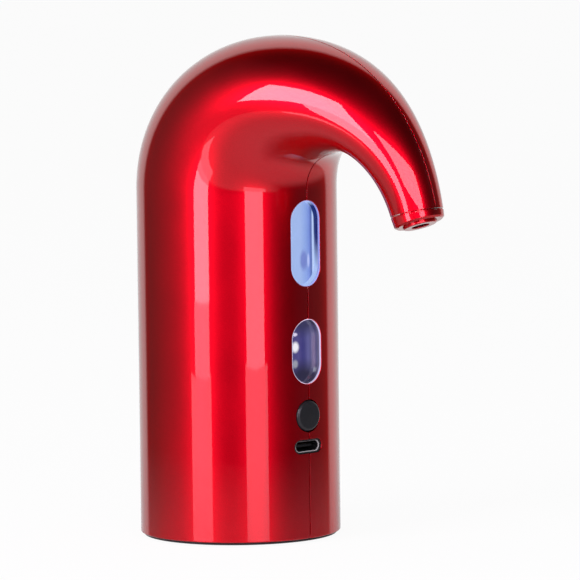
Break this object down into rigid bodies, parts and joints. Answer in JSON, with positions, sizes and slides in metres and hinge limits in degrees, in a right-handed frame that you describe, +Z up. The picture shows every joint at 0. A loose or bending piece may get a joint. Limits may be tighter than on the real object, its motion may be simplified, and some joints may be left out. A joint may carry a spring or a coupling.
{
  "type": "electric wine aerator",
  "caption": "Upright cylindrical electric wine aerator with an arched tapering spout, lit pill-shaped windows, push button, charging port and a ribbed stopper inside its base socket.",
  "frame": {"origin": "on the body's axis at the plane the foot ring stands on", "axes": "+X forward towards the spout, +Y to the left, +Z up along the body's axis"},
  "size_m": [0.1024, 0.054, 0.135],
  "materials": {
    "paint": "metallic gloss lacquer",
    "black_plastic": "matte black moulding",
    "foot_rubber": "matte black",
    "silicone": "translucent food silicone",
    "grey_plastic": "satin grey moulding",
    "white_plastic": "white moulding",
    "clear_plastic": "clear polished",
    "board": "solder-masked circuit board",
    "cell_wrap": "printed-free wrap",
    "lead_skin": "insulated wire",
    "steel": "bright steel",
    "copper": "copper",
    "bronze": "sintered bronze",
    "ferrite": "ferrite"
  },
  "bodies": {
    "housing": {"shell_left": "paint", "shell_right": "paint", "nozzle_collar": "paint", "nozzle_insert": "paint", "base_cover": "black_plastic", "sight_bezel": "black_plastic", "board_chips": "black_plastic", "usb_tongue": "black_plastic", "motor_end_cap": "black_plastic", "crankcase": "black_plastic", "pump_head": "black_plastic", "foot_ring": "foot_rubber", "air_valve": "foot_rubber", "pump_pad": "foot_rubber", "diaphragm": "foot_rubber", "valve_flaps": "foot_rubber", "bottle_seal": "silicone", "manifold_gasket": "silicone", "wine_hose_lower": "silicone", "wine_hose_upper": "silicone", "air_hose": "silicone", "stopper_core": "grey_plastic", "manifold": "grey_plastic", "chassis": "grey_plastic", "top_clamp": "grey_plastic", "switch_body": "grey_plastic", "valve_plate": "grey_plastic", "light_box": "white_plastic", "light_diffuser": "white_plastic", "light_leds": "white_plastic", "sight_led": "white_plastic", "light_window": "clear_plastic", "sight_window": "clear_plastic", "aeration_chamber": "clear_plastic", "light_board": "board", "main_board": "board", "cell": "cell_wrap", "leads": "lead_skin", "base_screws": "steel", "manifold_screws": "steel", "board_screws": "steel", "usb_shell": "steel", "chassis_screws": "steel", "clamp_screws": "steel", "aeration_jet": "steel", "motor_can": "steel", "motor_screws": "steel", "pump_screws": "steel", "motor_contacts": "copper", "motor_bushes": "bronze", "motor_magnets": "ferrite"},
    "button": {"button_cap": "black_plastic", "switch_stem": "white_plastic"},
    "rotor": {"motor_shaft": "steel", "armature_core": "steel", "armature_windings": "copper", "commutator": "copper", "eccentric": "steel"},
    "wobble": {"wobble_plate": "white_plastic"}
  },
  "joints": [
    {"name": "button_press", "type": "slide", "parent": "housing", "child": "button", "axis": [-1, 0, 0], "range_m": [0, 0.0005], "stiffness_N_per_m": 900},
    {"name": "rotor_spin", "type": "hinge", "parent": "housing", "child": "rotor", "pos_m": [-0.0075, 0, 0.064], "axis": [0, 0, 1], "continuous": true},
    {"name": "wobble_turn", "type": "hinge", "parent": "rotor", "child": "wobble", "pos_m": [-0.0075, 0, 0.051], "axis": [0.1736, 0, 0.9848], "continuous": true}
  ],
  "couplings": [
    {"joint": "wobble_turn", "follows": "rotor_spin", "ratio": -1}
  ]
}
